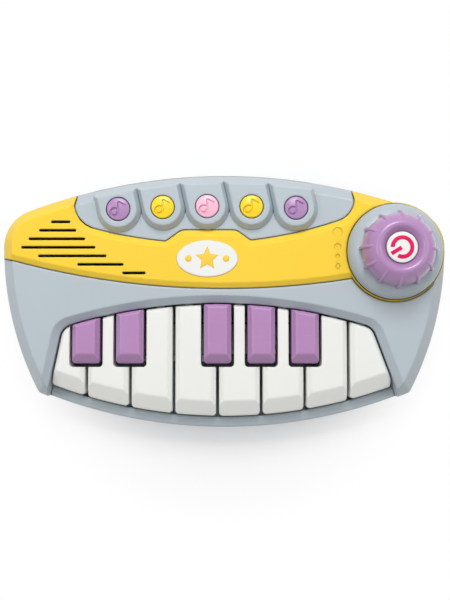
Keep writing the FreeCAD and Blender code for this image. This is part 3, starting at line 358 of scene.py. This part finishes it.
def combine(whole, other, operation):
    pickNone()
    whole.select_set(True)
    bpy.context.view_layer.objects.active = whole
    step = whole.modifiers.new("combine", "BOOLEAN")
    step.operation = operation
    step.solver = "EXACT"
    step.object = other
    bpy.ops.object.modifier_apply(modifier=step.name)
    bpy.data.objects.remove(other)
    return whole


def softenEdges(piece, width, segments=2, angle=40):
    pickNone()
    piece.select_set(True)
    bpy.context.view_layer.objects.active = piece
    bevel = piece.modifiers.new("soft", "BEVEL")
    bevel.width = width
    bevel.segments = segments
    bevel.limit_method = "ANGLE"
    bevel.angle_limit = math.radians(angle)
    bpy.ops.object.modifier_apply(modifier=bevel.name)
    return piece


def middleOf(node):
    low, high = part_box(node)
    return (low + high) / 2, low, high


def bar(start, end, width, low, high):
    start, end = Vector(start), Vector(end)
    middle = (start + end) / 2
    run = end - start
    bpy.ops.mesh.primitive_cube_add(size=1.0, location=(middle.x, middle.y, (low + high) / 2),
                                    rotation=(0, 0, math.atan2(run.y, run.x)))
    piece = bpy.context.object
    piece.scale = (run.length, width, high - low)
    bpy.ops.object.transform_apply(location=False, rotation=False, scale=True)
    return piece


# engraved music note on each button
noteLook = {
    "headRadius": 0.0032, "headHole": 0.0018, "headAt": (-0.0024, -0.0022), "headSquash": 0.92,
    "headTurn": 25.0, "headSides": 36, "holeReach": 1.5,
    "stemFoot": (0.0001, -0.0018), "stemTop": (0.0000, 0.0045), "stemWidth": 0.0011,
    "flagEnd": (0.0047, 0.0020), "flagWidth": 0.0014,
    "depth": 0.0009, "stemDepth": 0.98, "flagDepth": 0.96,   # shares of the depth, so that no faces coincide
    "clear": 0.001, "domeRadius": 0.021,
}


def noteHead(radius, depth, look=noteLook):
    pickNone()
    bpy.ops.mesh.primitive_cylinder_add(vertices=look["headSides"], radius=radius,
                                        depth=look["clear"] + depth,
                                        location=(*look["headAt"], (look["clear"] - depth) / 2))
    head = bpy.context.object
    head.scale = (1.0, look["headSquash"], 1.0)
    head.rotation_euler.z = math.radians(look["headTurn"])
    bpy.context.view_layer.update()
    return head


def noteCutter(look=noteLook):
    head = noteHead(look["headRadius"], look["depth"])
    head = combine(head, noteHead(look["headHole"], look["depth"] * look["holeReach"]), "DIFFERENCE")
    stemLow, flagLow = (-look["depth"] * look[share] for share in ("stemDepth", "flagDepth"))
    stem = bar(look["stemFoot"], look["stemTop"], look["stemWidth"], stemLow, look["clear"])
    flag = bar(look["stemTop"], look["flagEnd"], look["flagWidth"], flagLow, look["clear"])
    return combine(combine(head, stem, "UNION"), flag, "UNION")


def meshCopy(node, name):
    source = frame["nodes"][node]
    piece = bpy.data.objects.new(name, source.data.copy())
    bpy.context.scene.collection.objects.link(piece)
    piece.data.transform(source.matrix_world)
    pickNone()
    piece.select_set(True)
    bpy.context.view_layer.objects.active = piece
    bpy.ops.mesh.customdata_custom_splitnormals_clear()
    bpy.ops.object.mode_set(mode="EDIT")
    bpy.ops.mesh.select_all(action="SELECT")
    bpy.ops.mesh.remove_doubles(threshold=weldReach)
    bpy.ops.mesh.normals_make_consistent(inside=False)
    bpy.ops.object.mode_set(mode="OBJECT")
    return piece


def engrave(button, finish, look=noteLook):
    middle, low, high = middleOf(button)
    piece = meshCopy(button, button + "_cap")
    cutter = noteCutter()
    pickNone()
    cutter.select_set(True)
    bpy.context.view_layer.objects.active = cutter
    bpy.ops.object.transform_apply(location=True, rotation=True, scale=True)
    for vertex in cutter.data.vertices:
        if vertex.co.z < 0:
            vertex.co.z -= (vertex.co.x ** 2 + vertex.co.y ** 2) / (2 * look["domeRadius"])
    cutter.location = (middle.x, middle.y, high.z)
    bpy.context.view_layer.update()
    combine(piece, cutter, "DIFFERENCE")
    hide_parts(button)
    return settle(piece, button + "_engraved", button, finish)


for button, finish in (("button_1", "buttonPurple"), ("button_2", "buttonYellow"), ("button_3", "buttonPink"),
                       ("button_4", "buttonYellow"), ("button_5", "buttonPurple")):
    engrave(button, finish)
print("notes in the buttons")

# power sign on the knob's cap
signLook = {
    "ringRadius": 0.0062, "stroke": 0.0026, "raised": 0.00025, "sunk": 0.0010, "gap": 62.0,
    "barFrom": 0.0006, "barTo": 0.0082, "heading": 211.0, "soften": 0.0002, "steps": 56,
    "domeRadius": 0.065,
}


def makePowerSign(look=signLook):
    middle, low, high = middleOf("knob_cap")
    pickNone()
    bpy.ops.mesh.primitive_plane_add(size=1.0, rotation=(math.radians(90), 0, 0))
    ring = bpy.context.object
    ring.scale = (look["stroke"], look["sunk"] + look["raised"], 1.0)
    ring.location = (look["ringRadius"], 0, (look["raised"] - look["sunk"]) / 2)
    bpy.ops.object.transform_apply(location=True, rotation=True, scale=True)
    bpy.ops.object.mode_set(mode="EDIT")
    bpy.ops.mesh.select_all(action="SELECT")
    sweep = math.radians(360 - look["gap"])
    bpy.ops.mesh.spin(steps=look["steps"], angle=sweep, center=(0, 0, 0), axis=(0, 0, 1))
    bpy.ops.mesh.select_all(action="SELECT")
    bpy.ops.mesh.remove_doubles(threshold=weldReach)
    bpy.ops.mesh.normals_make_consistent(inside=False)
    bpy.ops.object.mode_set(mode="OBJECT")
    ring.rotation_euler.z = math.radians(look["heading"] - look["gap"] / 2)
    heading = math.radians(look["heading"])
    way = Vector((math.cos(heading), math.sin(heading)))
    stroke = bar(way * look["barFrom"], way * look["barTo"], look["stroke"], -look["sunk"], look["raised"])
    pieces = [softenEdges(ring, look["soften"]), softenEdges(stroke, look["soften"])]
    pickNone()
    for piece in pieces:
        piece.select_set(True)
    bpy.context.view_layer.objects.active = pieces[0]
    bpy.ops.object.transform_apply(location=True, rotation=True, scale=True)
    bpy.ops.object.join()
    sign = bpy.context.object
    for vertex in sign.data.vertices:
        reach = math.hypot(vertex.co.x, vertex.co.y)
        vertex.co.z -= reach * reach / (2 * look["domeRadius"])
    sign.location = (middle.x, middle.y, high.z)
    return settle(sign, "knob_power_sign", "knob", "signMagenta")


makePowerSign()
print("power sign on the cap")

# plain star and dots on the oval label
labelLook = {
    "starRadius": 0.0082, "starInner": 0.47, "starCorners": 10, "starSegments": 3, "starAngle": 30.0,
    "dotRadius": 0.0022, "dotReach": 0.0125, "dotSides": 40,
    "raised": 0.00025, "sunk": 0.0003, "soften": 0.0002,
}


def makeLabelStar(look=labelLook):
    middle, low, high = middleOf("label_plate")
    thick = look["raised"] + look["sunk"]
    pickNone()
    bpy.ops.mesh.primitive_circle_add(vertices=look["starCorners"], radius=look["starRadius"],
                                      fill_type="NGON")
    star = bpy.context.object
    for index, vertex in enumerate(star.data.vertices):
        if index % 2:
            vertex.co = vertex.co * look["starInner"]
    bpy.ops.object.mode_set(mode="EDIT")
    bpy.ops.mesh.select_all(action="SELECT")
    bpy.ops.mesh.extrude_region_move(TRANSFORM_OT_translate={"value": (0, 0, thick)})
    bpy.ops.mesh.select_all(action="SELECT")
    bpy.ops.mesh.normals_make_consistent(inside=False)
    bpy.ops.object.mode_set(mode="OBJECT")
    softenEdges(star, look["soften"], look["starSegments"], look["starAngle"])
    star.location = (middle.x, middle.y, high.z - look["sunk"])
    settle(star, "label_star", "casing", "labelYellow")
    for side, name in ((-1, "label_dot_left"), (1, "label_dot_right")):
        pickNone()
        bpy.ops.mesh.primitive_cylinder_add(vertices=look["dotSides"], radius=look["dotRadius"], depth=thick)
        dot = softenEdges(bpy.context.object, look["soften"])
        level = high.z + (look["raised"] - look["sunk"]) / 2
        dot.location = (middle.x + side * look["dotReach"], middle.y, level)
        settle(dot, name, "casing", "labelYellow")


makeLabelStar()
print("label motif on")

# zero mark beside the knob
zeroLook = {
    "at": (0.0754, 0.0225), "radius": 0.0013, "stroke": 0.00032, "wide": 1.0, "tall": 1.35, "flat": 0.8,
    "sunk": 0.0001, "sides": 40, "strokeSides": 10,
}


def makeZero(look=zeroLook):
    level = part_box("label_plate")[0].z
    pickNone()
    bpy.ops.mesh.primitive_torus_add(major_radius=look["radius"], minor_radius=look["stroke"],
                                     major_segments=look["sides"], minor_segments=look["strokeSides"],
                                     location=(*look["at"], level))
    zero = bpy.context.object
    zero.scale = (look["wide"], look["tall"], look["flat"])
    bpy.ops.object.transform_apply(location=False, rotation=False, scale=True)
    bpy.ops.object.mode_set(mode="EDIT")
    bpy.ops.mesh.select_all(action="SELECT")
    bpy.ops.mesh.bisect(plane_co=(*look["at"], level - look["sunk"]), plane_no=(0, 0, 1), use_fill=True,
                        clear_inner=True)
    bpy.ops.mesh.select_all(action="SELECT")
    bpy.ops.mesh.normals_make_consistent(inside=False)
    bpy.ops.object.mode_set(mode="OBJECT")
    return settle(zero, "panel_zero", "casing", "yellowPlastic")


makeZero()
print("zero mark on the panel")

# floor, light and camera
stageLook = {
    "floorSize": 6.0, "floorColour": (0.92, 0.92, 0.92, 1), "floorRoughness": 0.9,
    "glowNear": 0.30, "glowFar": 1.0, "nearReach": 0.085, "farReach": 0.165,   # white away from the object
    "zenith": 0.52, "horizon": 0.22,
    "lens": 54.7, "distance": 0.650, "tilt": 3.5, "aim": (0.0005, 0.0026),
    "sensor": 36.0, "clip": 0.01,
}
lampLook = {
    "back": {"at": (0.0, 0.75, 1.0), "size": (0.5, 0.5), "power": 7.9},
    "left": {"at": (-0.8, 0.1, 0.9), "size": (0.7, 0.16), "power": 2.3},
    "right": {"at": (0.8, 0.1, 0.9), "size": (0.7, 0.16), "power": 1.5},
}


def makeFloor(look=stageLook):
    pickNone()
    bpy.ops.mesh.primitive_plane_add(size=look["floorSize"])
    floor = bpy.context.object
    floor.name = "floor"
    made = Finish("paleFloor")
    made.surface(Base_Color=look["floorColour"], Roughness=look["floorRoughness"])
    glow = made.node("Emission", Color=(1, 1, 1, 1), Strength=1.0)
    blend = made.tree.nodes.new("ShaderNodeMixShader")
    place = made.node("TexCoord", output="Object")
    away = made.node("VectorMath", {"operation": "LENGTH"}, "Value", Vector=place)
    share = made.node("MapRange", {"interpolation_type": "SMOOTHSTEP"}, Value=away,
                      From_Min=look["nearReach"], From_Max=look["farReach"],
                      To_Min=look["glowNear"], To_Max=look["glowFar"])
    seen = made.node("LightPath", output="Is Camera Ray")
    mirrored = made.node("LightPath", output="Is Glossy Ray")
    through = made.node("LightPath", output="Is Transmission Ray")
    plug(made.tree, blend.inputs[0], (seen + mirrored + through) * share)
    made.tree.links.new(made.shader.outputs[0], blend.inputs[1])
    made.tree.links.new(glow.socket, blend.inputs[2])
    made.tree.links.new(blend.outputs[0], made.tree.nodes["Material Output"].inputs["Surface"])
    floor.data.materials.append(made.material)


def makeLight(look=stageLook):
    world = bpy.data.worlds.new("studio")
    bpy.context.scene.world = world
    world.use_nodes = True
    sky = world.node_tree.nodes["Background"]
    sky.inputs["Color"].default_value = (1, 1, 1, 1)
    ways = world.node_tree.nodes.new("ShaderNodeTexCoord")
    heights = world.node_tree.nodes.new("ShaderNodeSeparateXYZ")
    levels = world.node_tree.nodes.new("ShaderNodeMapRange")
    levels.inputs["To Min"].default_value = look["horizon"]
    levels.inputs["To Max"].default_value = look["zenith"]
    world.node_tree.links.new(ways.outputs["Generated"], heights.inputs[0])
    world.node_tree.links.new(heights.outputs["Z"], levels.inputs["Value"])
    seen = world.node_tree.nodes.new("ShaderNodeLightPath")
    rays = [Socket(world.node_tree, seen.outputs[name])
            for name in ("Is Camera Ray", "Is Glossy Ray", "Is Transmission Ray")]
    level = Socket(world.node_tree, levels.outputs[0]).blendWith("MAXIMUM", rays[0] + rays[1] + rays[2])
    plug(world.node_tree, sky.inputs["Strength"], level)
    for name, lamp in lampLook.items():
        pickNone()
        bpy.ops.object.light_add(type="AREA", location=lamp["at"])
        light = bpy.context.object
        light.name = "lamp_" + name
        light.data.energy = lamp["power"]
        light.data.shape = "RECTANGLE"
        light.data.size, light.data.size_y = lamp["size"]
        light.rotation_euler = (-Vector(lamp["at"])).to_track_quat("-Z", "Y").to_euler()


def makeCamera(look=stageLook):
    tilt = math.radians(look["tilt"])
    aimX, aimY = look["aim"]
    place = (aimX, aimY - look["distance"] * math.sin(tilt), look["distance"] * math.cos(tilt))
    pickNone()
    bpy.ops.object.camera_add(location=place, rotation=(tilt, 0, 0))
    camera = bpy.context.object
    camera.data.lens = look["lens"]
    camera.data.sensor_width = look["sensor"]
    camera.data.clip_start = look["clip"]
    bpy.context.scene.camera = camera


makeFloor()
makeLight()
makeCamera()
bpy.context.scene.view_settings.view_transform = "Standard"
print("stage ready")
